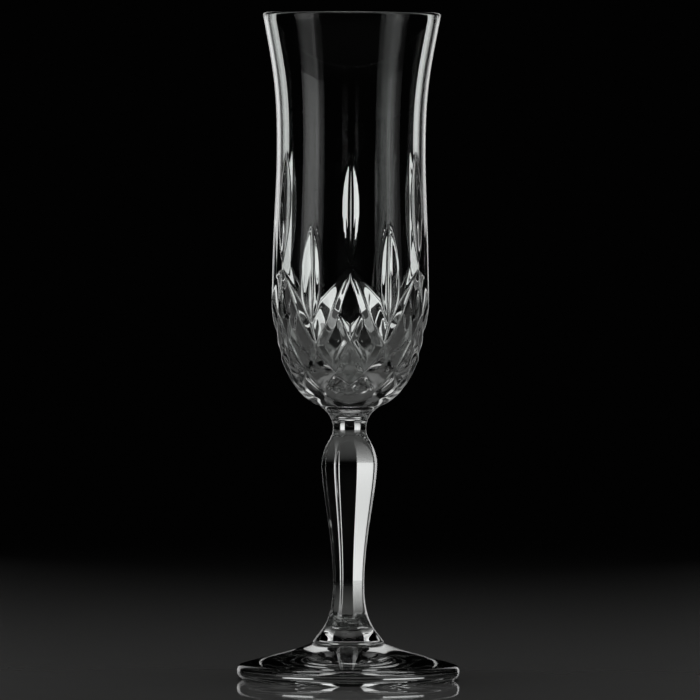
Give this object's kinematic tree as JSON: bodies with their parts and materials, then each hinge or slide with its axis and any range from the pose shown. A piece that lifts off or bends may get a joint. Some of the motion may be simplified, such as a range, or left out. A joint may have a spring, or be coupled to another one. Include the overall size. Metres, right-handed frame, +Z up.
{
  "type": "champagne flute",
  "caption": "Tall cut-glass champagne flute: flared cup with olive and lattice cuts, faceted baluster stem and round foot.",
  "frame": {"origin": "on the axis of the glass, at the level that the foot stands on", "axes": "+Z up along the axis, from the foot to the rim; -Y through the middle of one tall olive cut; +X to the right of it"},
  "size_m": [0.0718, 0.0718, 0.215],
  "materials": {
    "clear_glass": "clear, polished, with polished cuts"
  },
  "bodies": {
    "root": {"bowl": "clear_glass", "stem": "clear_glass", "foot": "clear_glass"}
  },
  "joints": []
}
